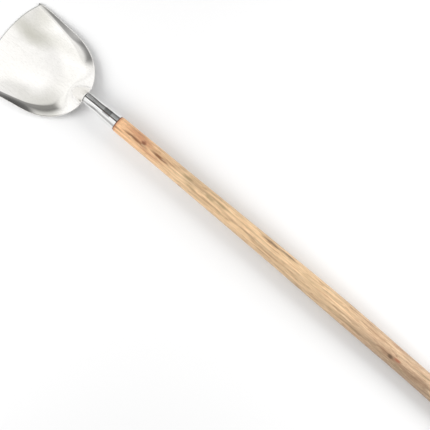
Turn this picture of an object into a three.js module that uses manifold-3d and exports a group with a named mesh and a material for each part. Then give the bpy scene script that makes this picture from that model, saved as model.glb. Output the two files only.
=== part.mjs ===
// Long-handled wok shovel: a pressed steel blade, a rolled steel socket and a turned wooden handle.
// Millimetres, +Z up. The origin is the middle of the blade's flat sole, on the surface it lies on,
// and +X runs back along the handle. The shovel lies as it comes to rest: on the sole and on the
// end of the handle.
import * as THREE from 'three';
import { mergeVertices } from 'three/addons/utils/BufferGeometryUtils.js';
import Module from 'manifold-3d';

const wasm = await Module();
wasm.setup();

// Blade: half of its rim and half of the floor's edge, from the front corner to the neck.
const SHEET = 1.3;                  // thickness of the blade's sheet
const FRONT_BOW = 12.3;             // how far the front edge bows out past its corners
const FRONT_SQUARENESS = 0.28;      // 0 is a parabola, more keeps the middle of the front edge straighter
const NECK_X = 63;                  // where the blade ends and the socket begins
const NECK_Z = 22;                  // height of the socket's axis there
const NECK_RADIUS = 7.2;            // half the width of the neck
const TONGUE = { top: 25, arch: 4 };           // the blade's rear end arches over the middle of the neck
const RIM = [
  [[-56.9, 62.4, 1.9], [-38.7, 63.4, 3.4], [-19.3, 59.1, 5.6], [0.9, 57.4, 7.0]],
  [[0.9, 57.4, 7.0], [47.4, 53.4, 7.0], [61.7, 20.6, 8.4], [NECK_X, NECK_RADIUS, TONGUE.top - TONGUE.arch]],
];
const FLOOR_EDGE = [
  [[-57, 58, 0], [-38, 56.5, 0], [-17, 51.4, 0], [2, 47, 0]],
  [[2, 47, 0], [30, 37, 0], [36, 18, 0], [36, 6, 0]],
];
const SIDE_WALL = { foot: 0.2, bend: 0.45, rise: 0.235 };   // tight foot, straight above it
const REAR_WALL = { foot: 0.33, bend: 0.58, rise: 0.36 };   // wider scoop at the rear corners
const NECK_WALL = { foot: 0.14, bend: 0.5, rise: 0.45 };    // a plain slope up to the tongue
const DISH = { rise: 1.0, width: 23, front: -62, full: -20 };  // the floor climbs a little near its edge
const BLADE_STEPS = { side: 12, rear: 18, floor: 8, wall: 9, foot: 24 };
const SKEW = THREE.MathUtils.degToRad(3.25);   // the blade sits a little askew to the handle
const SHIFT = 0.7;                  // and the handle's axis a little to one side of the neck's middle,
const YAW = THREE.MathUtils.degToRad(0.15);    // turned slightly toward the other side

// Socket: a tapered tube rolled from sheet, flattened at the neck and round farther back. Its front is
// cut to the slope of the blade, and its seam runs along the top and swings out to one side of the neck.
const SOCKET = {
  start: -13, length: 49.7, mouthRadius: 9.8, flat: 4.6, roundFrom: 26, sheet: 1.0,
  seam: 0.5, seamTurn: THREE.MathUtils.degToRad(2), seamSwing: THREE.MathUtils.degToRad(62), swingEnd: 24,
  around: 40, along: 14,
};
const NECK_GAP = 0.4;               // between the socket and the blade
const LID_HEIGHT = 60;              // tops the block that cuts the socket's front

// Weld bead under the neck.
const WELD = {
  section: 1.0, reach: 0.7, back: 0.8, out: 1.5, points: 9, steps: 20, sides: 10, halvings: 30,
};

// Handle, measured along its own axis from the neck.
const TENON = { x: 20, startRadius: 6.1 };
const SHOULDER = [[50, 8.45], [50.3, 9.4], [51.5, 10.0]];
const SHOULDER_X = SHOULDER[0][0];
const HANDLE_END = 608;
const CONTACT = { x: 596, radius: 12.6 };      // where the handle's end touches down
const END_ROUND = [[603, 11.6], [607, 8.8], [HANDLE_END, 6]];
const GRIP = [[53.5, 10.2], [95, 10.2], [140, 10.5], [172, 10.8], [220, 11.3], [270, 11.8], [310, 12.2],
  [345, 12.7], [390, 13.05], [415, 13.1], [464, 12.9], [500, 12.7], [545, 12.8]];
const BOW = 6.5;                    // sideways bow of the wood at its end
const HANDLE_SIDES = 24;
const HANG_HOLE = { x: 586, radius: 4, cut: 40, sides: 24 };

// Nail that holds the handle in the socket, driven from below.
const NAIL = { x: 36, headRadius: 1.9, headHeight: 1.0, domeRadius: 1.2, domeHeight: 0.8, edgeHeight: 0.3,
  shankRadius: 0.9, tip: 3.5, point: 1.0, gap: 0.3, cut: 10, sides: 16 };

// Vertices closer than this are joined: in the meshes, and in the solids cut from one another.
const WELD_DISTANCE = 0.001;
const SOLID_WELD_DISTANCE = 0.0001;

const DROOP = Math.asin((NECK_Z - CONTACT.radius) / CONTACT.x);

// Everything behind the neck shares the handle's axis.
const shaft = new THREE.Group();
shaft.position.set(NECK_X * Math.cos(SKEW), NECK_X * Math.sin(SKEW) + SHIFT, NECK_Z);
shaft.rotation.set(0, DROOP, -YAW, 'ZYX');
shaft.updateMatrix();
const BLADE_TO_SHAFT = shaft.matrix.clone().invert().multiply(new THREE.Matrix4().makeRotationZ(SKEW));

const steel = (name, color, roughness) =>
  new THREE.MeshStandardMaterial({ name, color, roughness, metalness: 1 });
const MATERIALS = {
  blade: steel('polished_steel', 0xdedfde, 0.22),
  socket: steel('socket_steel', 0xc9cac8, 0.28),
  weld: steel('weld_steel', 0xb9bab8, 0.4),
  nail: steel('nail_steel', 0xa9aaa8, 0.4),
  wood: new THREE.MeshStandardMaterial({ name: 'wood', color: 0xd3ad84, roughness: 0.6, metalness: 0 }),
};

const bezier = (points) => new THREE.CubicBezierCurve3(...points.map((p) => new THREE.Vector3(...p)));
const smooth = (t) => t * t * (3 - 2 * t);
const { lerp } = THREE.MathUtils;

function indexed(positions, index) {
  const geometry = new THREE.BufferGeometry();
  geometry.setAttribute('position', new THREE.Float32BufferAttribute(positions, 3));
  geometry.setIndex(index);
  return mergeVertices(geometry, WELD_DISTANCE);
}

// One open sheet from grids of points that share their borders.
function sheetFromGrids(grids) {
  const positions = [];
  const index = [];
  for (const rows of grids) {
    const base = positions.length / 3;
    const width = rows[0].length;
    rows.forEach((row) => row.forEach((p) => positions.push(p.x, p.y, p.z)));
    for (let i = 0; i + 1 < rows.length; i += 1) {
      for (let j = 0; j + 1 < width; j += 1) {
        const a = base + i * width + j;
        index.push(a, a + width, a + 1, a + 1, a + width, a + width + 1);
      }
    }
  }
  return indexed(positions, index);
}

// Closes an open sheet into a solid: each vertex gets a partner, and the edges are walled in.
function closeSheet(sheet, partner) {
  sheet.computeVertexNormals();
  const { position, normal } = sheet.attributes;
  const count = position.count;
  const positions = [...position.array];
  for (let i = 0; i < count; i += 1) {
    const point = new THREE.Vector3().fromBufferAttribute(position, i);
    positions.push(...partner(point, new THREE.Vector3().fromBufferAttribute(normal, i)));
  }
  const source = sheet.index.array;
  const index = [];
  const edges = new Map();
  for (let k = 0; k < source.length; k += 3) {
    const [a, b, c] = [source[k], source[k + 1], source[k + 2]];
    index.push(a + count, b + count, c + count, c, b, a);
    [[a, b], [b, c], [c, a]].forEach(([p, q]) => edges.set(`${p},${q}`, [p, q]));
  }
  edges.forEach(([p, q]) => {
    if (edges.has(`${q},${p}`)) return;
    index.push(q + count, p + count, p, q + count, p, q);
  });
  const geometry = new THREE.BufferGeometry();
  geometry.setAttribute('position', new THREE.Float32BufferAttribute(positions, 3));
  geometry.setIndex(index);
  return geometry;
}

// Gives an open sheet its thickness, on the side its normals point to.
const thicken = (sheet, thickness) =>
  closeSheet(sheet, (point, normal) => point.addScaledVector(normal, thickness));

function toManifold(geometry) {
  const bare = geometry.clone();
  bare.deleteAttribute('normal');
  bare.deleteAttribute('uv');
  const merged = mergeVertices(bare, SOLID_WELD_DISTANCE);
  const mesh = new wasm.Mesh({
    numProp: 3,
    vertProperties: new Float32Array(merged.attributes.position.array),
    triVerts: new Uint32Array(merged.index.array),
  });
  return new wasm.Manifold(mesh);
}

function fromManifold(solid) {
  const mesh = solid.getMesh();
  const geometry = new THREE.BufferGeometry();
  geometry.setAttribute('position', new THREE.Float32BufferAttribute(mesh.vertProperties, 3));
  geometry.setIndex([...mesh.triVerts]);
  return geometry;
}

// Half of the floor's edge and its mirror image, as one line round the back of the floor.
function footLine() {
  const half = FLOOR_EDGE.map(bezier).flatMap((curve) => curve.getPoints(BLADE_STEPS.foot));
  return [...half, ...half.map((p) => new THREE.Vector3(p.x, -p.y, 0)).reverse()];
}

const FOOT_LINE = footLine();

// How far the floor stands above the sole at a point: nothing in its flat middle, most at its edge.
function dishHeight(x, y) {
  const point = new THREE.Vector3(x, y, 0);
  const onLine = new THREE.Vector3();
  let nearest = DISH.width;
  for (let i = 0; i + 1 < FOOT_LINE.length; i += 1) {
    new THREE.Line3(FOOT_LINE[i], FOOT_LINE[i + 1]).closestPointToPoint(point, true, onLine);
    nearest = Math.min(nearest, onLine.distanceTo(point));
  }
  const along = smooth(THREE.MathUtils.clamp((x - DISH.front) / (DISH.full - DISH.front), 0, 1));
  return DISH.rise * along * (1 - nearest / DISH.width) ** 2;
}

// A wall rises from its foot on the floor to its rim along one cubic, given as fractions of both. It
// leaves the floor at the floor's own slope.
function wallPoint(foot, rim, v, shape) {
  const u = 1 - v;
  const out = 3 * u * u * v * shape.foot + 3 * u * v * v * shape.bend + v ** 3;
  const lean = ((2 * foot.z) / DISH.width) * Math.hypot(rim.x - foot.x, rim.y - foot.y);
  const up = u ** 3 * foot.z + 3 * u * u * v * (foot.z + lean * shape.foot)
    + 3 * u * v * v * lerp(foot.z, rim.z, shape.rise) + v ** 3 * rim.z;
  return new THREE.Vector3(lerp(foot.x, rim.x, out), lerp(foot.y, rim.y, out), up);
}

function blendWalls(a, b, t) {
  return { foot: lerp(a.foot, b.foot, t), bend: lerp(a.bend, b.bend, t), rise: lerp(a.rise, b.rise, t) };
}

// One cross row of the blade: down one wall, across the floor and up the other wall.
function crossRow(foot, rim, shape, bow) {
  const { floor, wall } = BLADE_STEPS;
  const half = [];
  for (let j = 0; j <= floor; j += 1) {
    const u = (j / floor) ** 2;
    const back = (1 - FRONT_SQUARENESS) * u + FRONT_SQUARENESS * u * u;
    const x = foot.x - bow * (1 - back);
    const y = (foot.y * j) / floor;
    half.push(new THREE.Vector3(x, y, dishHeight(x, y)));
  }
  const edge = half[floor];
  for (let k = 1; k <= wall; k += 1) half.push(wallPoint(edge, rim, k / wall, shape));
  const mirrored = half.slice(1).reverse().map((p) => new THREE.Vector3(p.x, -p.y, p.z));
  return [...mirrored, ...half];
}

// A point of the blade's underside behind the floor, where the wall climbs to the tongue.
function neckPoint(across, v) {
  const foot = bezier(FLOOR_EDGE[1]).getPoint(1);
  const y = foot.y * across;
  const side = Math.sin((across * Math.PI) / 2);
  const end = new THREE.Vector3(NECK_X, NECK_RADIUS * side, TONGUE.top - TONGUE.arch * side ** 2);
  return wallPoint(new THREE.Vector3(foot.x, y, dishHeight(foot.x, y)), end, v, NECK_WALL);
}

function bladeSheet() {
  const [rimSide, rimRear] = RIM.map(bezier);
  const [footSide, footRear] = FLOOR_EDGE.map(bezier);
  const { side, rear, floor, wall } = BLADE_STEPS;
  const rows = [];
  for (let i = 0; i < side; i += 1) {
    const t = i / side;
    rows.push(crossRow(footSide.getPoint(t), rimSide.getPoint(t), SIDE_WALL, FRONT_BOW * (1 - t) ** 2));
  }
  for (let i = 0; i <= rear; i += 1) {
    const t = i / rear;
    const corner = blendWalls(SIDE_WALL, REAR_WALL, smooth(Math.min(1, 2 * t)));
    const shape = blendWalls(corner, NECK_WALL, smooth(Math.max(0, 2 * t - 1)));
    rows.push(crossRow(footRear.getPoint(t), rimRear.getPoint(t), shape, 0));
  }
  const neck = [];
  for (let k = 0; k <= wall; k += 1) {
    const row = [];
    for (let j = -floor; j <= floor; j += 1) row.push(neckPoint(j / floor, k / wall));
    neck.push(row);
  }
  return sheetFromGrids([rows, neck]);
}

const bladeGeometry = () => thicken(bladeSheet(), SHEET);

const socketRadius = (x) => lerp(NECK_RADIUS, SOCKET.mouthRadius, x / SOCKET.length);

// A point of the socket's outside, or of a skin that far outside it. Angle 0 is its underside.
function socketPoint(x, angle, outward = 0) {
  const wide = socketRadius(x);
  const high = lerp(SOCKET.flat, wide, smooth(THREE.MathUtils.clamp(x / SOCKET.roundFrom, 0, 1)));
  return new THREE.Vector3(x, (wide + outward) * Math.sin(angle), -(high + outward) * Math.cos(angle));
}

// Everything above the blade's underside, with the gap of the joint added.
function aboveBlade() {
  const sheet = bladeSheet().translate(NECK_GAP, 0, -NECK_GAP);
  const block = closeSheet(sheet, (point) => point.setZ(LID_HEIGHT));
  return toManifold(block.applyMatrix4(BLADE_TO_SHAFT));
}

function uprightCylinder(radius, height, sides, x, y, z) {
  const cylinder = new THREE.CylinderGeometry(radius, radius, height, sides);
  return toManifold(cylinder.rotateX(Math.PI / 2).translate(x, y, z));
}

function socketGeometry() {
  const reach = Math.PI - SOCKET.seam / 2 / SOCKET.mouthRadius;
  const rows = [];
  for (let j = 0; j <= SOCKET.around; j += 1) {
    const angle = lerp(reach, -reach, j / SOCKET.around);
    const row = [];
    for (let i = 0; i <= SOCKET.along; i += 1) {
      const x = lerp(SOCKET.start, SOCKET.length, i / SOCKET.along);
      const swung = 1 - smooth(THREE.MathUtils.clamp(x / SOCKET.swingEnd, 0, 1));
      row.push(socketPoint(x, angle - SOCKET.seamTurn - SOCKET.seamSwing * swung ** 2));
    }
    rows.push(row);
  }
  const tube = toManifold(thicken(sheetFromGrids([rows]), SOCKET.sheet));
  const holeRadius = NAIL.shankRadius + NAIL.gap;
  const hole = uprightCylinder(holeRadius, NAIL.cut, NAIL.sides, NAIL.x, 0, -socketRadius(NAIL.x));
  return fromManifold(tube.subtract(aboveBlade()).subtract(hole));
}

// A point of the bead's middle line, just behind the corner between the blade's underside and the socket.
function weldCentre(across) {
  let [low, high] = [0, 1];
  let point;
  let angle;
  for (let n = 0; n < WELD.halvings; n += 1) {
    const v = (low + high) / 2;
    point = neckPoint(across, v).applyMatrix4(BLADE_TO_SHAFT);
    angle = Math.asin(THREE.MathUtils.clamp(point.y / socketRadius(point.x), -1, 1));
    if (point.z < socketPoint(point.x, angle).z) low = v;
    else high = v;
  }
  const centre = socketPoint(point.x, angle, WELD.out);
  return centre.setX(centre.x + WELD.back);
}

function weldGeometry() {
  const line = [];
  for (let i = 0; i < WELD.points; i += 1) {
    line.push(weldCentre(lerp(-WELD.reach, WELD.reach, i / (WELD.points - 1))));
  }
  const section = new THREE.Shape();
  section.absarc(0, 0, WELD.section, 0, Math.PI * 2);
  const bead = new THREE.ExtrudeGeometry(section,
    { steps: WELD.steps, curveSegments: WELD.sides, extrudePath: new THREE.CatmullRomCurve3(line) });
  return fromManifold(toManifold(bead).subtract(aboveBlade()));
}

const bowAt = (x) => -BOW * (Math.max(0, x - SHOULDER_X) / (HANDLE_END - SHOULDER_X)) ** 4;

function handleGeometry() {
  const wood = [
    [TENON.x, 0], [TENON.x, TENON.startRadius], ...SHOULDER, ...GRIP, [CONTACT.x, CONTACT.radius],
    ...END_ROUND, [HANDLE_END, 0],
  ];
  const profile = wood.map(([x, r]) => new THREE.Vector2(r, x));
  const geometry = new THREE.LatheGeometry(profile, HANDLE_SIDES);
  geometry.rotateZ(-Math.PI / 2);
  const { position } = geometry.attributes;
  for (let i = 0; i < position.count; i += 1) position.setY(i, position.getY(i) + bowAt(position.getX(i)));
  const hole = HANG_HOLE;
  const hanging = uprightCylinder(hole.radius, hole.cut, hole.sides, hole.x, bowAt(hole.x), 0);
  const nailTop = -NAIL.tip + NAIL.gap;
  const nailRadius = NAIL.shankRadius + NAIL.gap;
  const nailHole = uprightCylinder(nailRadius, NAIL.cut, NAIL.sides, NAIL.x, 0, nailTop - NAIL.cut / 2);
  return fromManifold(toManifold(geometry).subtract(hanging).subtract(nailHole));
}

function nailGeometry() {
  const under = -(socketRadius(NAIL.x) + NAIL.gap);
  const profile = [
    [0, under - NAIL.headHeight], [NAIL.domeRadius, under - NAIL.domeHeight],
    [NAIL.headRadius, under - NAIL.edgeHeight], [NAIL.headRadius, under], [NAIL.shankRadius, under],
    [NAIL.shankRadius, -NAIL.tip - NAIL.point], [0, -NAIL.tip],
  ];
  const geometry = new THREE.LatheGeometry(profile.map(([r, z]) => new THREE.Vector2(r, z)), NAIL.sides);
  return geometry.rotateX(Math.PI / 2).translate(NAIL.x, 0, 0);
}

function named(name, geometry, material) {
  const mesh = new THREE.Mesh(geometry, material);
  mesh.name = name;
  return mesh;
}

const blade = named('blade', bladeGeometry(), MATERIALS.blade);
blade.rotation.z = SKEW;

shaft.add(
  named('socket', socketGeometry(), MATERIALS.socket),
  named('neck_weld', weldGeometry(), MATERIALS.weld),
  named('handle', handleGeometry(), MATERIALS.wood),
  named('handle_nail', nailGeometry(), MATERIALS.nail),
);

const shovel = new THREE.Group();
shovel.add(blade, shaft);
export default shovel;
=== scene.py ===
"""Looks of the long-handled wok shovel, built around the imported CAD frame.

Metres, +Z up. The origin is the middle of the blade's flat sole, and +X runs back along the handle.
"""
import contextlib
import math

import bmesh
import bpy
from mathutils import Matrix, Vector, noise


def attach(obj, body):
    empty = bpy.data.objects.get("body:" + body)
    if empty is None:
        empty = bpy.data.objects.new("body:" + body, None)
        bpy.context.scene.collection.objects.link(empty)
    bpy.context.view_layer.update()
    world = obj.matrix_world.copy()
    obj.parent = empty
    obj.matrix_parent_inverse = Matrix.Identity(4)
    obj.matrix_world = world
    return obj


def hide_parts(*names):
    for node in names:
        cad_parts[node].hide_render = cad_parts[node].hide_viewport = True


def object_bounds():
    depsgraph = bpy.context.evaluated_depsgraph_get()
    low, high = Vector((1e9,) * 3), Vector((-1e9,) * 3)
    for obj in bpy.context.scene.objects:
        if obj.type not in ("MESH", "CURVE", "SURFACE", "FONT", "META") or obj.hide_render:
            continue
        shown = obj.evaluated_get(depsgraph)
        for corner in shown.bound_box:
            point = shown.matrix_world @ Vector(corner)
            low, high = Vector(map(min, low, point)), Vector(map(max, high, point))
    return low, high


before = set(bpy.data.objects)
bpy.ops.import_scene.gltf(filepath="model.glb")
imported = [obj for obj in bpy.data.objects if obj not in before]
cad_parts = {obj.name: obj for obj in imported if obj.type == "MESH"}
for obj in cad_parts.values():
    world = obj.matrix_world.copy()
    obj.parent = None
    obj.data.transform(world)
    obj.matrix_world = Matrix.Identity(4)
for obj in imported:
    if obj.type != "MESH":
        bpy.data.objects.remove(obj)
CAD_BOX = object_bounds()
MM = 0.001
BODY = "root"

# ---------------------------------------------------------------- small helpers
def lerp(a, b, t):
    return a + (b - a) * t


def smooth(t):
    t = min(1.0, max(0.0, t))
    return t * t * (3 - 2 * t)


def toward(azimuth, elevation):
    """The direction of a camera that stands there: azimuth 0 lies toward -Y, 90 toward +X."""
    a, e = math.radians(azimuth), math.radians(elevation)
    return Vector((math.sin(a) * math.cos(e), -math.cos(a) * math.cos(e), math.sin(e)))


def facing(back):
    """The turn of a camera or light that looks along the opposite of back, upright."""
    return (-back).to_track_quat("-Z", "Y")


# ---------------------------------------------------------------- camera
# Angles in degrees, the distance in metres, the lens and the sensor in millimetres.
CAMERA = {"azimuth": 39.99, "elevation": 85.94, "roll": -0.34, "distance": 1.2104,
          "lens": 83.41, "sensor": 36.0}
# The view's centre, as fractions of the CAD box along X and Y, on the ground.
AIM = (0.4622, 0.4832)


def add_camera():
    lo, hi = CAD_BOX
    aim = Vector((lerp(lo.x, hi.x, AIM[0]), lerp(lo.y, hi.y, AIM[1]), 0.0))
    back = toward(CAMERA["azimuth"], CAMERA["elevation"])
    data = bpy.data.cameras.new("camera")
    data.lens = CAMERA["lens"]
    data.sensor_width = CAMERA["sensor"]
    camera = bpy.data.objects.new("camera", data)
    bpy.context.scene.collection.objects.link(camera)
    camera.location = aim + back * CAMERA["distance"]
    camera.rotation_mode = "QUATERNION"
    turn = Matrix.Rotation(math.radians(CAMERA["roll"]), 3, "Z").to_quaternion()
    camera.rotation_quaternion = facing(back) @ turn
    bpy.context.scene.camera = camera


# ---------------------------------------------------------------- measures of the shovel, in millimetres
SHEET = 1.3                 # thickness of the blade
SHEET_EDGE = 0.55           # rounding of the blade's edges
FRONT_BOW = 12.3            # how far the front edge bows out past its corners
FRONT_SQUARENESS = 0.28     # 0 makes the front edge a parabola, 1 flattens its middle most
NECK_X, NECK_Z, NECK_RADIUS = 63.0, 22.0, 7.2
NECK_GAP = 0.4              # between the blade and what lies under its tongue
CUTTER_TOP = 60             # above everything that is cut away at the neck
# The blade ends in a tongue that arches over the middle of the neck.
TONGUE = {"top": 25.0, "arch": 4.0}
# Side and rear curves of the rim, and of the edge of the flat floor.
RIM = (
    ((-56.9, 62.4, 1.9), (-38.7, 63.4, 3.4), (-19.3, 59.1, 5.6), (0.9, 57.4, 7.0)),
    ((0.9, 57.4, 7.0), (47.4, 53.4, 7.0), (61.7, 20.6, 8.4),
     (NECK_X, NECK_RADIUS, TONGUE["top"] - TONGUE["arch"])),
)
FLOOR_EDGE = (
    ((-57, 58.0, 0), (-38, 56.5, 0), (-17, 51.4, 0), (2, 47.0, 0)),
    ((2, 47.0, 0), (30, 37.0, 0), (36, 18, 0), (36, 6, 0)),
)
# How a wall leaves the floor: how far out its two inner controls lie, and how high the second one.
SIDE_WALL = {"foot": 0.2, "bend": 0.45, "rise": 0.235}
REAR_WALL = {"foot": 0.33, "bend": 0.58, "rise": 0.36}
NECK_WALL = {"foot": 0.14, "bend": 0.5, "rise": 0.45}
# The floor climbs gently toward the foot of the walls, from "front" on and in full from "full" on.
DISH = {"rise": 1.0, "width": 23.0, "front": -62.0, "full": -20.0}
BLADE_STEPS = {"side": 10, "rear": 16, "floor": 7, "wall": 7, "foot": 40}
BLADE_ROUNDS = 2            # subdivisions of the blade's grid
JOIN_DISTANCE = 0.002       # points nearer than this become one
EDGE_SEGMENTS = 3
EDGE_ANGLE = math.radians(55)   # only sharper edges are rounded

# The socket is flattened where it meets the blade and round from "round" on. Its seam runs along the top
# and swings out to the corner of the neck.
SOCKET = {"start": -13.0, "length": 49.7, "mouth": 9.8, "flat": 4.6, "round": 26.0, "sheet": 1.0,
          "edge": 0.25, "seam": 0.4, "seam_turn": math.radians(2), "seam_swing": math.radians(62),
          "swing_end": 24.0, "around": 128, "along": 60}
WELD = {"section": 1.0, "reach": 0.7, "back": 0.8, "out": 1.5, "halvings": 30, "steps": 72, "sides": 20,
        "taper": 3, "tip": 0.02, "ripple": 0.06, "ripple_turn": 1.7}
NAIL = {"x": 36.0, "head": 1.9, "height": 1.0, "skirt": 0.25, "chamfer": 0.08, "shank": 0.9, "gap": 0.3,
        "shank_end": 4.5, "tip": 3.5, "steps": 8, "around": 32}

# The wood. A grip station is a distance from the neck and a radius there.
TENON = {"x": 20.0, "start": 6.1, "mouth": 8.45, "chamfer": 0.6}
SHOULDER = {"x": 50.0, "round": 3.2, "steps": 8}
GRIP = ((53.5, 10.2), (95, 10.2), (140, 10.5), (172, 10.8), (220, 11.3), (270, 11.8), (310, 12.2),
        (345, 12.7), (390, 13.05), (415, 13.1), (464, 12.9), (500, 12.7), (545, 12.8))
GRIP_START, GRIP_STEP = 56.0, 2.5
CONTACT = {"x": 596.0, "radius": 12.6}      # where the handle touches the table
HANDLE_END = {"x": 608.0, "flat": 6.0, "squareness": 0.9, "steps": 12}
HANDLE_AROUND = 96
BOW = 6.5                   # sideways bow of the wood at its end
# Slight unevenness of the turned wood, from a little behind the shoulder on, on a handle of about "radius".
UNEVEN = {"from": 4, "height": 0.10, "radius": 12, "along": 0.02, "across": 60}
HANG_HOLE = {"x": 586.0, "radius": 4.0, "sides": 64}
# Eased ends of the hanging hole, from the outside in: distance from its middle, radius.
HOLE_FLARE = ((20, 7.5), (13.4, 5.4), (12.4, 4.35), (11.2, HANG_HOLE["radius"]))

SKEW = math.radians(3.25)   # the blade sits a little askew to the handle
SHIFT = 0.7                 # and the handle a little to one side
YAW = math.radians(0.15)
DROOP = math.asin((NECK_Z - CONTACT["radius"]) / CONTACT["x"])
NECK = Vector((NECK_X * math.cos(SKEW), NECK_X * math.sin(SKEW) + SHIFT, NECK_Z))
BLADE_TURN = Matrix.Rotation(SKEW, 4, "Z")
SHAFT_PLACE = Matrix.Translation(NECK * MM) @ Matrix.Rotation(-YAW, 4, "Z") @ Matrix.Rotation(DROOP, 4, "Y")


# ---------------------------------------------------------------- mesh helpers
def bezier(points, t):
    a, b, c, d = (Vector(p) for p in points)
    u = 1 - t
    return a * u ** 3 + b * 3 * u * u * t + c * 3 * u * t * t + d * t ** 3


def mesh_from_grids(name, grids, closed_across=False):
    """One smooth mesh in metres from grids of points in millimetres, welded where they meet."""
    mesh = bmesh.new()
    for rows in grids:
        verts = [[mesh.verts.new(Vector(p) * MM) for p in row] for row in rows]
        width = len(rows[0])
        for upper, lower in zip(verts, verts[1:]):
            for j in range(width if closed_across else width - 1):
                k = (j + 1) % width
                mesh.faces.new((upper[j], lower[j], lower[k], upper[k]))
    bmesh.ops.remove_doubles(mesh, verts=mesh.verts, dist=JOIN_DISTANCE * MM)
    for face in mesh.faces:
        face.smooth = True
    data = bpy.data.meshes.new(name)
    mesh.to_mesh(data)
    mesh.free()
    piece = bpy.data.objects.new(name, data)
    bpy.context.scene.collection.objects.link(piece)
    return piece


@contextlib.contextmanager
def editing(piece):
    """Opens a piece's mesh for edits, then turns its faces outward and puts it back."""
    mesh = bmesh.new()
    mesh.from_mesh(piece.data)
    yield mesh
    bmesh.ops.recalc_face_normals(mesh, faces=mesh.faces)
    mesh.to_mesh(piece.data)
    mesh.free()


def apply_modifiers(piece):
    graph = bpy.context.evaluated_depsgraph_get()
    done = bpy.data.meshes.new_from_object(piece.evaluated_get(graph))
    piece.modifiers.clear()
    old = piece.data
    piece.data = done
    bpy.data.meshes.remove(old)


def add_thickness(piece, thickness, edge_radius):
    """Turns an open sheet into real sheet metal with rounded edges."""
    solid = piece.modifiers.new("thickness", "SOLIDIFY")
    solid.thickness = thickness * MM
    solid.offset = 1.0
    solid.use_even_offset = False
    rounding = piece.modifiers.new("edges", "BEVEL")
    rounding.width = edge_radius * MM
    rounding.segments = EDGE_SEGMENTS
    rounding.limit_method = "ANGLE"
    rounding.angle_limit = EDGE_ANGLE
    apply_modifiers(piece)
    for polygon in piece.data.polygons:
        polygon.use_smooth = True


def finish_piece(piece, node, material):
    piece.data.materials.clear()
    piece.data.materials.append(material)
    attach(piece, BODY)
    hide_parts(node)


# ---------------------------------------------------------------- blade
def wall_point(foot, rim, v, shape):
    """A point of the wall between its foot and its rim, leaving the dished floor without a crease."""
    u = 1 - v
    out = 3 * u * u * v * shape["foot"] + 3 * u * v * v * shape["bend"] + v ** 3
    lean = 2 * foot.z / DISH["width"] * math.hypot(rim.x - foot.x, rim.y - foot.y)
    up = (u ** 3 * foot.z + 3 * u * u * v * (foot.z + lean * shape["foot"])
          + 3 * u * v * v * lerp(foot.z, rim.z, shape["rise"]) + v ** 3 * rim.z)
    return Vector((lerp(foot.x, rim.x, out), lerp(foot.y, rim.y, out), up))


def foot_line():
    """The whole foot of the wall, round the back from one front corner to the other."""
    steps = BLADE_STEPS["foot"]
    side = [bezier(FLOOR_EDGE[0], i / steps) for i in range(steps)]
    side += [bezier(FLOOR_EDGE[1], i / steps) for i in range(steps + 1)]
    return side + [Vector((p.x, -p.y, 0)) for p in reversed(side)]


FOOT_LINE = foot_line()


def dish_height(x, y):
    """How far the floor has climbed at a point, by its distance from the foot of the wall."""
    nearest = DISH["width"]
    for a, b in zip(FOOT_LINE, FOOT_LINE[1:]):
        step = b - a
        t = ((x - a.x) * step.x + (y - a.y) * step.y) / step.length_squared
        t = min(1.0, max(0.0, t))
        nearest = min(nearest, math.hypot(x - a.x - t * step.x, y - a.y - t * step.y))
    along = smooth((x - DISH["front"]) / (DISH["full"] - DISH["front"]))
    return DISH["rise"] * along * (1 - nearest / DISH["width"]) ** 2


def cross_row(foot, rim, shape, bow):
    """Down one wall, across the floor and up the other wall."""
    floor, wall = BLADE_STEPS["floor"], BLADE_STEPS["wall"]
    half = []
    for j in range(floor + 1):
        u = (j / floor) ** 2
        back = (1 - FRONT_SQUARENESS) * u + FRONT_SQUARENESS * u * u
        x, y = foot.x - bow * (1 - back), foot.y * j / floor
        half.append(Vector((x, y, dish_height(x, y))))
    for k in range(1, wall + 1):
        half.append(wall_point(half[floor], rim, k / wall, shape))
    mirrored = [Vector((p.x, -p.y, p.z)) for p in reversed(half[1:])]
    return mirrored + half


def blend(a, b, t):
    return {key: lerp(a[key], b[key], t) for key in a}


def blade_rows():
    side, rear = BLADE_STEPS["side"], BLADE_STEPS["rear"]
    rows = []
    for i in range(side):
        t = i / side
        bow = FRONT_BOW * (1 - t) ** 2
        rows.append(cross_row(bezier(FLOOR_EDGE[0], t), bezier(RIM[0], t), SIDE_WALL, bow))
    for i in range(rear + 1):
        t = i / rear
        shape = blend(blend(SIDE_WALL, REAR_WALL, smooth(2 * t)), NECK_WALL, smooth(2 * t - 1))
        rows.append(cross_row(bezier(FLOOR_EDGE[1], t), bezier(RIM[1], t), shape, 0))
    return rows


def neck_point(across, v):
    """A point of the underside behind the floor, where the wall climbs to the tongue."""
    foot = bezier(FLOOR_EDGE[1], 1)
    y = foot.y * across
    sine_across = math.sin(across * math.pi / 2)
    end = Vector((NECK_X, NECK_RADIUS * sine_across, TONGUE["top"] - TONGUE["arch"] * sine_across ** 2))
    return wall_point(Vector((foot.x, y, dish_height(foot.x, y))), end, v, NECK_WALL)


def neck_rows():
    floor, wall = BLADE_STEPS["floor"], BLADE_STEPS["wall"]
    return [[neck_point(j / floor, k / wall) for j in range(-floor, floor + 1)] for k in range(wall + 1)]


def blade_sheet(name):
    blade = mesh_from_grids(name, [blade_rows(), neck_rows()])
    rounding = blade.modifiers.new("rounding", "SUBSURF")
    rounding.levels = rounding.render_levels = BLADE_ROUNDS
    rounding.boundary_smooth = "PRESERVE_CORNERS"
    apply_modifiers(blade)
    return blade


def add_blade(material):
    blade = blade_sheet("blade_pressed")
    blade.data.transform(BLADE_TURN)
    add_thickness(blade, SHEET, SHEET_EDGE)
    finish_piece(blade, "blade", material)


# ---------------------------------------------------------------- socket, weld, nail
def socket_radius(x):
    return lerp(NECK_RADIUS, SOCKET["mouth"], x / SOCKET["length"])


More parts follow.
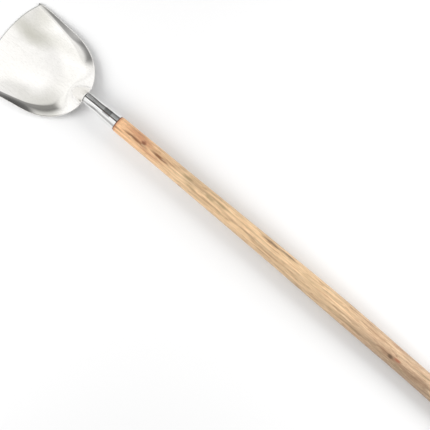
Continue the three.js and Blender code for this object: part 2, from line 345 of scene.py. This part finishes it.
def socket_point(x, angle, outward=0.0):
    """A point of the socket's outside. Angle 0 is its underside."""
    wide = socket_radius(x)
    high = lerp(SOCKET["flat"], wide, smooth(x / SOCKET["round"]))
    return Vector((x, (wide + outward) * math.sin(angle), -(high + outward) * math.cos(angle)))


def cut(piece, cutter):
    bore = piece.modifiers.new("cut", "BOOLEAN")
    bore.operation = "DIFFERENCE"
    bore.solver = "EXACT"
    bore.object = cutter
    apply_modifiers(piece)
    bpy.data.objects.remove(cutter)


def above_blade():
    """Everything above the blade's underside, with the gap of the joint added."""
    cutter = blade_sheet("above_blade")
    with editing(cutter) as mesh:
        bmesh.ops.translate(mesh, verts=mesh.verts, vec=Vector((NECK_GAP, 0, -NECK_GAP)) * MM)
        underside = list(mesh.faces)
        lifted = bmesh.ops.extrude_face_region(mesh, geom=underside, use_keep_orig=True)["geom"]
        for item in lifted:
            if isinstance(item, bmesh.types.BMVert):
                item.co.z = CUTTER_TOP * MM
    cutter.data.transform(BLADE_TURN)
    return cutter


def add_socket(material):
    reach = math.pi - SOCKET["seam"] / 2 / SOCKET["mouth"]
    rows = []
    for j in range(SOCKET["around"] + 1):
        angle = lerp(reach, -reach, j / SOCKET["around"])
        row = []
        for i in range(SOCKET["along"] + 1):
            x = lerp(SOCKET["start"], SOCKET["length"], i / SOCKET["along"])
            swing = SOCKET["seam_swing"] * (1 - smooth(x / SOCKET["swing_end"])) ** 2
            row.append(socket_point(x, angle - SOCKET["seam_turn"] - swing))
        rows.append(row)
    socket = mesh_from_grids("socket_rolled", [rows])
    socket.data.transform(SHAFT_PLACE)
    add_thickness(socket, SOCKET["sheet"], SOCKET["edge"])
    cut(socket, above_blade())
    finish_piece(socket, "socket", material)


def weld_centre(across):
    """Just behind the corner between the blade's underside and the socket, found by halving."""
    low, high = 0.0, 1.0
    for _ in range(WELD["halvings"]):
        v = (low + high) / 2
        point = SHAFT_PLACE.inverted() @ (BLADE_TURN @ (neck_point(across, v) * MM)) / MM
        angle = math.asin(max(-1.0, min(1.0, point.y / socket_radius(point.x))))
        if point.z < socket_point(point.x, angle).z:
            low = v
        else:
            high = v
    return socket_point(point.x, angle, WELD["out"]) + Vector((WELD["back"], 0, 0))


def add_weld(material):
    steps, sides = WELD["steps"], WELD["sides"]
    centres = [weld_centre(lerp(-WELD["reach"], WELD["reach"], i / steps)) for i in range(steps + 1)]
    rows = []
    for i, centre in enumerate(centres):
        along = (centres[min(steps, i + 1)] - centres[max(0, i - 1)]).normalized()
        first = along.orthogonal().normalized() if i == 0 else (first - along * first.dot(along)).normalized()
        second = along.cross(first)
        from_end = min(1.0, min(i, steps - i) / WELD["taper"])
        size = WELD["section"] * lerp(WELD["tip"], 1, math.sin(from_end * math.pi / 2))
        size *= 1 + WELD["ripple"] * math.sin(i * WELD["ripple_turn"])
        row = []
        for k in range(sides):
            around = 2 * math.pi * k / sides
            row.append(centre + first * size * math.cos(around) + second * size * math.sin(around))
        rows.append(row)
    weld = mesh_from_grids("neck_weld_bead", [rows], closed_across=True)
    with editing(weld) as mesh:
        bmesh.ops.holes_fill(mesh, edges=[edge for edge in mesh.edges if edge.is_boundary], sides=0)
    weld.data.transform(SHAFT_PLACE)
    cut(weld, above_blade())
    finish_piece(weld, "neck_weld", material)


def lathe(name, profile, around, place):
    """Turns (x, radius) points, both ends on the axis, round the local X axis."""
    rows = []
    for x, r in profile:
        rows.append([(x, r * math.sin(2 * math.pi * k / around), r * math.cos(2 * math.pi * k / around))
                     for k in range(around)])
    piece = mesh_from_grids(name, [rows], closed_across=True)
    with editing(piece):
        pass    # its faces only need turning outward
    piece.data.transform(place)
    return piece


def quarter_turns(steps):
    """Angles from just above 0 to a right angle."""
    return [math.pi / 2 * k / steps for k in range(1, steps + 1)]


def add_nail(material):
    under = socket_radius(NAIL["x"]) + NAIL["gap"]
    dome, skirt = NAIL["height"] - NAIL["skirt"], under + NAIL["skirt"]
    profile = [(under + NAIL["height"], 0)]
    for turn in quarter_turns(NAIL["steps"]):
        profile.append((skirt + dome * math.cos(turn), NAIL["head"] * math.sin(turn)))
    profile += [(under + NAIL["chamfer"], NAIL["head"]), (under, NAIL["head"] - NAIL["chamfer"]),
                (under, NAIL["shank"]), (NAIL["shank_end"], NAIL["shank"]), (NAIL["tip"], 0)]
    down = Matrix.Translation(Vector((NAIL["x"], 0, 0)) * MM) @ Matrix.Rotation(math.pi / 2, 4, "Y")
    nail = lathe("handle_nail_round", profile, NAIL["around"], SHAFT_PLACE @ down)
    finish_piece(nail, "handle_nail", material)


# ---------------------------------------------------------------- handle
def bow_at(x):
    """How far the wood has bowed to one side."""
    return -BOW * (max(0.0, x - SHOULDER["x"]) / (HANDLE_END["x"] - SHOULDER["x"])) ** 4


def grip_radius(x):
    """Smooth curve through the grip's stations."""
    stations = GRIP + ((CONTACT["x"], CONTACT["radius"]),)
    last = len(stations) - 1
    i = next(i for i in range(last) if x <= stations[i + 1][0])
    (xa, ra), (xb, rb), (xc, rc), (xd, rd) = (stations[max(0, min(last, k))] for k in range(i - 1, i + 3))
    width = xc - xb
    t = (x - xb) / width
    slope_b = (rc - ra) / (xc - xa) * width
    slope_c = (rd - rb) / (xd - xb) * width
    return ((2 * t ** 3 - 3 * t ** 2 + 1) * rb + (t ** 3 - 2 * t ** 2 + t) * slope_b
            + (-2 * t ** 3 + 3 * t ** 2) * rc + (t ** 3 - t ** 2) * slope_c)


def handle_profile():
    """The wood from the tenon's tip to the rounded end."""
    chamfer, mouth = TENON["chamfer"], TENON["mouth"]
    profile = [(TENON["x"], 0), (TENON["x"], TENON["start"] - chamfer),
               (TENON["x"] + chamfer, TENON["start"]), (SHOULDER["x"], mouth)]
    for turn in quarter_turns(SHOULDER["steps"]):
        profile.append((SHOULDER["x"] + SHOULDER["round"] * (1 - math.cos(turn)),
                        mouth + (GRIP[0][1] - mouth) * math.sin(turn)))
    x = GRIP_START
    while x < CONTACT["x"]:
        profile.append((x, grip_radius(x)))
        x += GRIP_STEP
    profile.append((CONTACT["x"], CONTACT["radius"]))
    for turn in quarter_turns(HANDLE_END["steps"]):
        fullness = math.cos(turn) ** HANDLE_END["squareness"]
        profile.append((lerp(CONTACT["x"], HANDLE_END["x"], math.sin(turn)),
                        lerp(HANDLE_END["flat"], CONTACT["radius"], fullness)))
    profile.append((HANDLE_END["x"], 0))
    return profile


def drill(piece, place):
    """Bores the hanging hole, with its edges eased, by one cut."""
    end = HOLE_FLARE[0][0]
    lower = [(-h, r) for h, r in HOLE_FLARE]
    upper = [(h, r) for h, r in reversed(HOLE_FLARE)]
    profile = [(-end, 0), *lower, *upper, (end, 0)]
    middle = Matrix.Translation(Vector((HANG_HOLE["x"], bow_at(HANG_HOLE["x"]), 0)) * MM)
    upright = middle @ Matrix.Rotation(-math.pi / 2, 4, "Y")
    cut(piece, lathe("cutter", profile, HANG_HOLE["sides"], place @ upright))


def add_handle(material):
    handle = lathe("handle_wood", handle_profile(), HANDLE_AROUND, Matrix.Identity(4))
    for vertex in handle.data.vertices:
        x, y, z = vertex.co
        x /= MM
        if x > SHOULDER["x"] + UNEVEN["from"]:
            spot = Vector((x * UNEVEN["along"], y * UNEVEN["across"], z * UNEVEN["across"]))
            swell = 1 + UNEVEN["height"] * noise.noise(spot) / UNEVEN["radius"]
            vertex.co.y *= swell
            vertex.co.z *= swell
        vertex.co.y += bow_at(x) * MM
    handle.data.transform(SHAFT_PLACE)
    drill(handle, SHAFT_PLACE)
    finish_piece(handle, "handle", material)


# ---------------------------------------------------------------- materials
SPOT_WAVER = 3.0        # how much a noise moves the outline of a spot
UPPER_EDGE = 1.0        # half the height over which a mark on the upper side fades in
STEEL_DULL = 0.93       # the dark of a blotch, as a part of the steel's own tone
SCRATCH_TURN = (0, 0, math.radians(35))
STREAK_TURN = (0, 0, math.radians(-12))


class Tree:
    """A small helper that adds shader nodes to a node tree."""

    def __init__(self, tree):
        self.tree = tree

    def add(self, kind, **values):
        node = self.tree.nodes.new(kind)
        for key, value in values.items():
            setattr(node, key, value)
        return node

    def link(self, a, b):
        self.tree.links.new(a, b)

    def fade(self, value, none, full, top=1.0):
        """0 at none, top at full, and smooth between."""
        node = self.add("ShaderNodeMapRange", interpolation_type="SMOOTHSTEP")
        self.link(value, node.inputs["Value"])
        node.inputs["From Min"].default_value = none
        node.inputs["From Max"].default_value = full
        node.inputs["To Max"].default_value = top
        return node.outputs["Result"]

    def split(self, vector):
        node = self.add("ShaderNodeSeparateXYZ")
        self.link(vector, node.inputs[0])
        return node.outputs["X"], node.outputs["Y"], node.outputs["Z"]

    def ramp(self, value, stops, colour=False):
        """Greys, or colours, along stops of (position, shade)."""
        node = self.add("ShaderNodeValToRGB")
        self.link(value, node.inputs["Fac"])
        elements = node.color_ramp.elements
        while len(elements) < len(stops):
            elements.new(0.5)
        for element, (position, shade) in zip(elements, stops):
            element.position = position
            element.color = (*shade, 1) if colour else (shade, shade, shade, 1)
        return node.outputs["Color"]


class Nodes(Tree):
    """A new material, round one Principled shader."""

    def __init__(self, name):
        self.material = bpy.data.materials.new(name)
        self.material.use_nodes = True
        super().__init__(self.material.node_tree)
        self.tree.nodes.clear()
        self.shader = self.add("ShaderNodeBsdfPrincipled")
        output = self.add("ShaderNodeOutputMaterial")
        self.link(self.shader.outputs["BSDF"], output.inputs["Surface"])
        self.place = self.add("ShaderNodeTexCoord").outputs["Object"]

    def use_local(self, matrix):
        """Measures the material in a frame of its own instead of the object's."""
        back = matrix.inverted()
        node = self.add("ShaderNodeMapping")
        self.link(self.place, node.inputs["Vector"])
        node.inputs["Rotation"].default_value = back.to_euler("XYZ")
        node.inputs["Location"].default_value = back.to_translation()
        self.place = node.outputs["Vector"]

    def axes(self):
        return self.split(self.place)

    def spot(self, x, y, half_x, half_y, wobble, soft=1.0):
        """A soft oval on the upper side, 1 in its middle, with a wavering outline. Millimetres."""
        along, across, height = self.axes()
        u = self.math("MULTIPLY", self.math("SUBTRACT", along, x * MM), 1 / (half_x * MM))
        v = self.math("MULTIPLY", self.math("SUBTRACT", across, y * MM), 1 / (half_y * MM))
        waver = self.math("MULTIPLY", self.math("SUBTRACT", wobble, 0.5), SPOT_WAVER)
        v = self.math("ADD", v, waver)
        reach = self.math("SQRT", self.math("ADD", self.math("MULTIPLY", u, u), self.math("MULTIPLY", v, v)))
        oval = self.fade(reach, 1.0 + soft, 1.0 - soft)
        return self.math("MULTIPLY", oval, self.on_top(height, -UPPER_EDGE))

    def on_top(self, height, start=0.0):
        """1 on the upper side, which begins at a height in millimetres, and 0 under it."""
        return self.fade(height, start * MM, (start + 2 * UPPER_EDGE) * MM)

    def mapped(self, scale, rotation=(0, 0, 0), offset=(0, 0, 0)):
        """The place scaled, turned and moved for a texture. A larger scale makes finer marks."""
        node = self.add("ShaderNodeMapping")
        self.link(self.place, node.inputs["Vector"])
        node.inputs["Scale"].default_value = scale
        node.inputs["Rotation"].default_value = rotation
        node.inputs["Location"].default_value = offset
        return node.outputs["Vector"]

    def noise(self, vector, scale, detail=4, roughness=0.5, distortion=0.0):
        node = self.add("ShaderNodeTexNoise")
        self.link(vector, node.inputs["Vector"])
        node.inputs["Scale"].default_value = scale
        node.inputs["Detail"].default_value = detail
        node.inputs["Roughness"].default_value = roughness
        node.inputs["Distortion"].default_value = distortion
        return node.outputs["Fac"]

    def math(self, operation, a, b=0):
        node = self.add("ShaderNodeMath", operation=operation)
        for socket, value in zip(node.inputs, (a, b)):
            if isinstance(value, (int, float)):
                socket.default_value = value
            else:
                self.link(value, socket)
        return node.outputs[0]

    def mix(self, factor, a, b, blend="MIX"):
        node = self.add("ShaderNodeMix", data_type="RGBA", blend_type=blend)
        for name, value in (("Factor", factor), ("A", a), ("B", b)):
            socket = next(s for s in node.inputs if s.name == name and s.enabled)
            if isinstance(value, tuple):
                socket.default_value = (*value, 1)
            elif isinstance(value, (int, float)):
                socket.default_value = value
            else:
                self.link(value, socket)
        return next(s for s in node.outputs if s.enabled)

    def tint(self, colour, mask, strength, tint):
        """The colour with a tint over it, as strong as the mask times the strength."""
        return self.mix(self.math("MULTIPLY", mask, strength), colour, tint)

    def shade(self, colour, value, stops):
        """The colour darkened or lightened by greys along a value."""
        return self.mix(1.0, colour, self.ramp(value, stops), "MULTIPLY")

    def bump(self, height, distance, strength=1.0, normal=None):
        node = self.add("ShaderNodeBump")
        self.link(height, node.inputs["Height"])
        node.inputs["Distance"].default_value = distance
        node.inputs["Strength"].default_value = strength
        if normal is not None:
            self.link(normal, node.inputs["Normal"])
        return node.outputs["Normal"]

    def set(self, name, value):
        if isinstance(value, (int, float)):
            self.shader.inputs[name].default_value = value
        elif isinstance(value, tuple):
            self.shader.inputs[name].default_value = (*value, 1)
        else:
            self.link(value, self.shader.inputs[name])


def steel(name, tone, rough, brush_scale, local=None):
    """Steel with soft blotches, fine brushing and scratches. Returns the nodes and the colour so far."""
    nodes = Nodes(name)
    if local is not None:
        nodes.use_local(local)
    blotches = nodes.noise(nodes.mapped((1, 1, 1)), scale=28, detail=5, roughness=0.55)
    brushed = nodes.noise(nodes.mapped(brush_scale), scale=1, detail=3, roughness=0.6)
    scratches = nodes.noise(nodes.mapped((40, 900, 900), SCRATCH_TURN), scale=1, detail=2, roughness=0.7)
    dull = tuple(c * STEEL_DULL for c in tone)
    colour = nodes.ramp(blotches, ((0.3, dull), (0.7, tone)), colour=True)
    low, high = rough
    grain = nodes.mix(0.5, brushed, blotches)
    nodes.set("Metallic", 1.0)
    nodes.set("Roughness", nodes.ramp(grain, ((0.3, low), (0.7, high))))
    normal = nodes.bump(brushed, distance=0.02 * MM, strength=0.25)
    nodes.set("Normal", nodes.bump(scratches, distance=0.01 * MM, strength=0.2, normal=normal))
    nodes.set("Base Color", colour)
    return nodes, colour


def plain_steel(name, tone):
    return steel(name, tone, (0.3, 0.45), (400, 400, 400))[0].material


BLADE_TONE, SOCKET_TONE = (0.91, 0.895, 0.87), (0.88, 0.88, 0.87)
WELD_TONE, NAIL_TONE = (0.55, 0.55, 0.54), (0.5, 0.5, 0.49)
# Light painted into colour: the first tone below paints dull reflections on the blade's floor, the last one
# paints shade along its front edge.
REFLECTION_TONE, STREAK, EDGE_SHADE_TONE = (0.54, 0.53, 0.47), (0.62, 0.6, 0.54), (0.3, 0.3, 0.29)
ETCHED, SEAM_DARK_TONE = (0.10, 0.10, 0.10), (0.08, 0.08, 0.075)
# The painted shade along the thin ground lip of the front edge: how far behind the edge its dark line is
# full, and gone.
EDGE_SHADE = {"full": 0.7, "none": 1.6, "dark": 0.7}
# Dull patches on the blade's floor, painted reflections: x, y, half length, half width, how dark.
PAINTED_REFLECTIONS = (
    (-40, 29, 27, 9, 0.85), (-54, 32, 22, 12, 0.36), (-43, 50, 14, 8, 0.60), (20, -41, 36, 11, 0.45),
    (28, -24, 16, 16, 0.50), (4, 38, 36, 8, 0.36), (30, 10, 16, 16, 0.18), (-46, -30, 26, 18, 0.10),
    (-40, 4, 40, 12, 0.10),
)


def behind_front(nodes):
    """How far a point of the blade lies behind its bowed front edge."""
    along, across, _height = nodes.axes()
    corner_x, corner_y, _z = FLOOR_EDGE[0][0]
    part = nodes.math("MULTIPLY", across, 1 / (corner_y * MM))
    part = nodes.math("MULTIPLY", part, part)
    square = nodes.math("MULTIPLY", nodes.math("MULTIPLY", part, part), FRONT_SQUARENESS)
    back = nodes.math("ADD", nodes.math("MULTIPLY", part, 1 - FRONT_SQUARENESS), square)
    front = nodes.math("ADD", nodes.math("MULTIPLY", back, FRONT_BOW * MM), (corner_x - FRONT_BOW) * MM)
    return nodes.math("SUBTRACT", along, front)


def blade_steel():
    """Polished steel with painted reflections in dull patches, streaks, fine scratches, and painted shade
    along the ground lip.
    """
    nodes, colour = steel("blade_steel", BLADE_TONE, (0.05, 0.13), (60, 420, 420), BLADE_TURN)
    wobble = nodes.noise(nodes.mapped((1, 1, 1)), scale=22, detail=3, roughness=0.5)
    # Paints dull reflections on the floor, in soft patches.
    for x, y, half_x, half_y, dark in PAINTED_REFLECTIONS:
        colour = nodes.tint(colour, nodes.spot(x, y, half_x, half_y, wobble), dark, REFLECTION_TONE)
    streaks = nodes.noise(nodes.mapped((30, 700, 300), STREAK_TURN), scale=1, detail=4, roughness=0.6)
    colour = nodes.tint(colour, nodes.fade(streaks, 0.5, 0.75), 0.16, STREAK)
    scratches = nodes.noise(nodes.mapped((260, 900, 300), SCRATCH_TURN), scale=1, detail=3, roughness=0.7,
                            distortion=0.8)
    colour = nodes.shade(colour, scratches, ((0.36, 0.93), (0.55, 1.0)))
    # Paints a line of shade just behind the front edge.
    edge_shade = nodes.fade(behind_front(nodes), EDGE_SHADE["none"] * MM, EDGE_SHADE["full"] * MM)
    nodes.set("Base Color", nodes.tint(colour, edge_shade, EDGE_SHADE["dark"], EDGE_SHADE_TONE))
    return nodes.material


# Darker bands on both sides of the seam: how far from it the dark is full, and gone.
SEAM_DARK = {"full": 0.6, "none": 1.1, "dark": 0.95}
# A plain etched band of crossed lines, behind the socket's middle.
HATCH = {"x": (28.5, 39.0), "y": (-2.0, 6.6), "edge": 0.3, "pitch": 2.1, "ground": 0.35, "dark": 0.75}


def hatching(nodes, along, across, height):
    """How dark the band is: full on its crossed lines, and less on the ground between them."""
    band = nodes.on_top(height)
    edge = HATCH["edge"]
    for value, (low, high) in ((along, HATCH["x"]), (across, HATCH["y"])):
        band = nodes.math("MULTIPLY", band, nodes.fade(value, (low - edge) * MM, (low + edge) * MM))
        band = nodes.math("MULTIPLY", band, nodes.fade(value, (high + edge) * MM, (high - edge) * MM))
    lines = HATCH["ground"]
    for sign in (1, -1):
        sloped = nodes.math("ADD", along, nodes.math("MULTIPLY", across, sign))
        wave = nodes.math("SINE", nodes.math("MULTIPLY", sloped, 2 * math.pi / (HATCH["pitch"] * MM)))
        lines = nodes.math("MAXIMUM", nodes.fade(wave, 0.2, 0.8), lines)
    return nodes.math("MULTIPLY", band, lines)


def seam_darkening(nodes, along, across, height):
    """Where the socket is darker, on both sides of the straight part of the seam."""
    sideways = math.sin(SOCKET["seam_turn"])
    widening = (SOCKET["mouth"] - NECK_RADIUS) / SOCKET["length"] * sideways
    seam = nodes.math("ADD", nodes.math("MULTIPLY", along, widening), NECK_RADIUS * sideways * MM)
    off_seam = nodes.math("ABSOLUTE", nodes.math("SUBTRACT", across, seam))
    seam_band = nodes.fade(off_seam, SEAM_DARK["none"] * MM, SEAM_DARK["full"] * MM)
    return nodes.math("MULTIPLY", seam_band, nodes.on_top(height))


def socket_steel():
    """Duller steel with the etched band and darker bands along the seam."""
    nodes, colour = steel("socket_steel", SOCKET_TONE, (0.12, 0.22), (30, 600, 600), SHAFT_PLACE)
    axes = nodes.axes()
    colour = nodes.tint(colour, hatching(nodes, *axes), HATCH["dark"], ETCHED)
    colour = nodes.tint(colour, seam_darkening(nodes, *axes), SEAM_DARK["dark"], SEAM_DARK_TONE)
    nodes.set("Base Color", colour)
    return nodes.material


# The wood's colour along the handle: distance from the neck, then linear red, green and blue.
WOOD_TONES = (
    (50, (0.44, 0.18, 0.095)), (54, (0.80, 0.49, 0.27)), (98, (0.80, 0.515, 0.29)),
    (146, (0.75, 0.525, 0.315)), (210, (0.72, 0.50, 0.295)), (390, (0.68, 0.48, 0.29)),
    (438, (0.55, 0.38, 0.24)), (486, (0.47, 0.33, 0.215)), (560, (0.49, 0.345, 0.23)),
)
# Marks in the wood: x, y, half length, half width, strength, colour.
BROWN, RED, OLIVE = (0.20, 0.09, 0.04), (0.33, 0.10, 0.05), (0.24, 0.18, 0.09)
DARK, PALE = (0.10, 0.06, 0.035), (0.80, 0.63, 0.42)
WOOD_MARKS = (
    (80, -1.8, 18, 1.7, 0.95, BROWN), (91, 1.8, 3.2, 2.0, 1.0, DARK), (84, 4.0, 18, 4.2, 0.5, RED),
    (117, 0.3, 13, 1.4, 1.0, BROWN), (122, 3.0, 22, 1.8, 0.35, BROWN), (104, -4.2, 20, 1.6, 0.35, RED),
    (158, 3.0, 7, 1.8, 0.6, OLIVE), (166, -3.4, 9, 1.2, 0.55, OLIVE), (193, 0.8, 6, 2.2, 0.6, OLIVE),
    (186, -4.6, 16, 1.0, 0.4, BROWN), (210, 3.4, 8, 1.4, 0.55, OLIVE), (240, -2.0, 22, 0.9, 0.35, BROWN),
    (284, 7.2, 13, 1.0, 0.8, DARK), (308, 8.0, 12, 0.9, 0.75, DARK), (300, -5.2, 26, 0.9, 0.3, BROWN),
    (345, 1.6, 28, 0.9, 0.3, OLIVE), (402, -3.0, 24, 1.0, 0.35, BROWN), (452, 3.2, 20, 1.2, 0.35, BROWN),
    (470, -5.6, 16, 3.6, 0.4, BROWN), (476, -6.2, 3.4, 1.8, 0.85, DARK), (486, -4.6, 4.2, 1.5, 0.75, RED),
    (512, -7.0, 26, 3.4, 0.3, BROWN), (540, 2.0, 22, 1.2, 0.3, OLIVE),
)


def wood():
    """Pale wood with long grain, stains and marks, in the frame of the shaft."""
    nodes = Nodes("handle_wood")
    nodes.use_local(SHAFT_PLACE)
    broad = nodes.noise(nodes.mapped((7, 110, 110)), scale=1, detail=3, roughness=0.5, distortion=0.7)
    bands = nodes.noise(nodes.mapped((10, 420, 420)), scale=1, detail=4, roughness=0.6, distortion=0.5)
    fibres = nodes.noise(nodes.mapped((45, 1500, 1500)), scale=1, detail=4, roughness=0.65, distortion=0.2)
    pores = nodes.noise(nodes.mapped((150, 2200, 2200)), scale=1, detail=2, roughness=0.5)
    along = nodes.axes()[0]
    first, last = WOOD_TONES[0][0], WOOD_TONES[-1][0]
    stops = tuple(((x - first) / (last - first), tone) for x, tone in WOOD_TONES)
    place = nodes.math("MULTIPLY", nodes.math("SUBTRACT", along, first * MM), 1 / ((last - first) * MM))
    colour = nodes.ramp(place, stops, colour=True)
    colour = nodes.shade(colour, broad, ((0.32, 0.84), (0.5, 1.0), (0.68, 1.07)))
    colour = nodes.shade(colour, bands, ((0.34, 0.72), (0.5, 1.0), (0.66, 1.10)))
    colour = nodes.shade(colour, fibres, ((0.36, 0.66), (0.56, 1.05)))
    streaks = nodes.noise(nodes.mapped((16, 330, 330), offset=(0.3, 0.1, 0.2)), scale=1, detail=3,
                          roughness=0.6, distortion=1.2)
    colour = nodes.tint(colour, nodes.fade(streaks, 0.60, 0.72), 0.5, OLIVE)
    colour = nodes.tint(colour, nodes.fade(streaks, 0.40, 0.30), 0.4, RED)
    wobble = nodes.noise(nodes.mapped((35, 200, 200)), scale=1, detail=3, roughness=0.6)
    for x, y, half_x, half_y, strength, tint in WOOD_MARKS:
        colour = nodes.tint(colour, nodes.spot(x, y, half_x, half_y, wobble, soft=0.55), strength, tint)
    colour = nodes.tint(colour, nodes.fade(pores, 0.60, 0.72), 0.5, BROWN)
    flecks = nodes.noise(nodes.mapped((60, 620, 620), offset=(0.7, 0.4, 0.1)), scale=1, detail=3,
                         roughness=0.7, distortion=0.6)
    colour = nodes.tint(colour, nodes.fade(flecks, 0.58, 0.66), 0.60, BROWN)
    colour = nodes.tint(colour, nodes.fade(flecks, 0.42, 0.33), 0.45, PALE)
    nodes.set("Base Color", colour)
    nodes.set("Roughness", nodes.ramp(fibres, ((0.3, 0.48), (0.7, 0.66))))
    normal = nodes.bump(fibres, distance=0.12 * MM, strength=0.5)
    nodes.set("Normal", nodes.bump(pores, distance=0.06 * MM, strength=0.4, normal=normal))
    return nodes.material


# ---------------------------------------------------------------- floor and light
# The side of the floor in metres, its grey and its roughness.
FLOOR = {"size": 24, "grey": 0.75, "roughness": 0.8}


def add_floor():
    lo, hi = CAD_BOX
    middle = ((lo.x + hi.x) / 2, (lo.y + hi.y) / 2, 0)
    bpy.ops.mesh.primitive_plane_add(size=FLOOR["size"], location=middle)
    floor = bpy.context.object
    floor.name = "floor"
    nodes = Nodes("floor_paper")
    nodes.set("Base Color", (FLOOR["grey"],) * 3)
    nodes.set("Roughness", FLOOR["roughness"])
    floor.data.materials.append(nodes.material)


# Soft boxes that look at a point on the ground, in millimetres, from a direction in degrees. The distance
# and the sides are in metres, the power in watts.
LIGHTS = (
    {"name": "near", "aim": (40, 0), "azimuth": -45, "elevation": 40, "distance": 1.0, "sides": (0.7, 0.7),
     "power": 8.4},
    {"name": "far", "aim": (600, 0), "azimuth": 150, "elevation": 38, "distance": 0.9, "sides": (0.6, 0.6),
     "power": 9.8},
)


def add_light(name, aim, azimuth, elevation, distance, sides, power):
    data = bpy.data.lights.new(name, "AREA")
    data.shape = "RECTANGLE"
    data.size, data.size_y = sides
    data.energy = power
    light = bpy.data.objects.new(name, data)
    bpy.context.scene.collection.objects.link(light)
    back = toward(azimuth, elevation)
    light.visible_glossy = False
    light.location = Vector((*aim, 0)) * MM + back * distance
    light.rotation_mode = "QUATERNION"
    light.rotation_quaternion = facing(back)


# The studio's light by direction. Angles are in degrees, and each edge fades from full to none.
# The sky goes by the height of the direction, 0 level and 1 straight up, and its radiance there.
SKY = ((0.0, 0.06), (0.3, 0.17), (0.62, 0.38))
OVERHEAD = {"azimuth": -25, "elevation": 70, "full": 29, "none": 44, "radiance": 0.66}
LOW_PANEL = {"azimuth": -100, "full": 36, "none": 48, "top_full": 15, "top_none": 32, "radiance": 1.05}
TALL_PANELS = (
    {"azimuth": -84, "full": 12, "none": 30, "radiance": 0.90},
    {"azimuth": -8, "full": 13, "none": 25, "radiance": 0.36},
)


def cosine(degrees):
    return math.cos(math.radians(degrees))


def sine(degrees):
    return math.sin(math.radians(degrees))


class World(Tree):
    """The world's node tree, for light that depends only on direction."""

    def __init__(self):
        world = bpy.data.worlds.new("studio")
        bpy.context.scene.world = world
        world.use_nodes = True
        super().__init__(world.node_tree)
        self.direction = self.add("ShaderNodeTexCoord").outputs["Generated"]

    def vector(self, operation, a, b=(0, 0, 0)):
        node = self.add("ShaderNodeVectorMath", operation=operation)
        for socket, value in zip(node.inputs, (a, b)):
            if isinstance(value, (tuple, Vector)):
                socket.default_value = value
            else:
                self.link(value, socket)
        return node.outputs["Value" if operation == "DOT_PRODUCT" else "Vector"]

    def lobe(self, direction, centre, box):
        """The light of a box round a centre, by the angle from it."""
        part = self.vector("DOT_PRODUCT", direction, centre)
        return self.fade(part, cosine(box["none"]), cosine(box["full"]), box["radiance"])


def add_world():
    world = World()
    height = world.split(world.direction)[2]
    sky = world.ramp(height, SKY)
    overhead = world.lobe(world.direction, toward(OVERHEAD["azimuth"], OVERHEAD["elevation"]), OVERHEAD)
    level = world.vector("NORMALIZE", world.vector("MULTIPLY", world.direction, (1, 1, 0)))
    low = world.fade(height, sine(LOW_PANEL["top_none"]), sine(LOW_PANEL["top_full"]))
    beside = world.vector("MULTIPLY", world.lobe(level, toward(LOW_PANEL["azimuth"], 0), LOW_PANEL), low)
    boxes = world.vector("MAXIMUM", overhead, beside)
    for panel in TALL_PANELS:
        boxes = world.vector("MAXIMUM", boxes, world.lobe(level, toward(panel["azimuth"], 0), panel))
    world.link(world.vector("ADD", sky, boxes), world.tree.nodes["Background"].inputs["Color"])


add_camera()
add_blade(blade_steel())
add_socket(socket_steel())
add_weld(plain_steel("weld_steel", WELD_TONE))
add_nail(plain_steel("nail_steel", NAIL_TONE))
add_handle(wood())
add_floor()
for box in LIGHTS:
    add_light(**box)
add_world()
bpy.context.scene.view_settings.view_transform = "Standard"
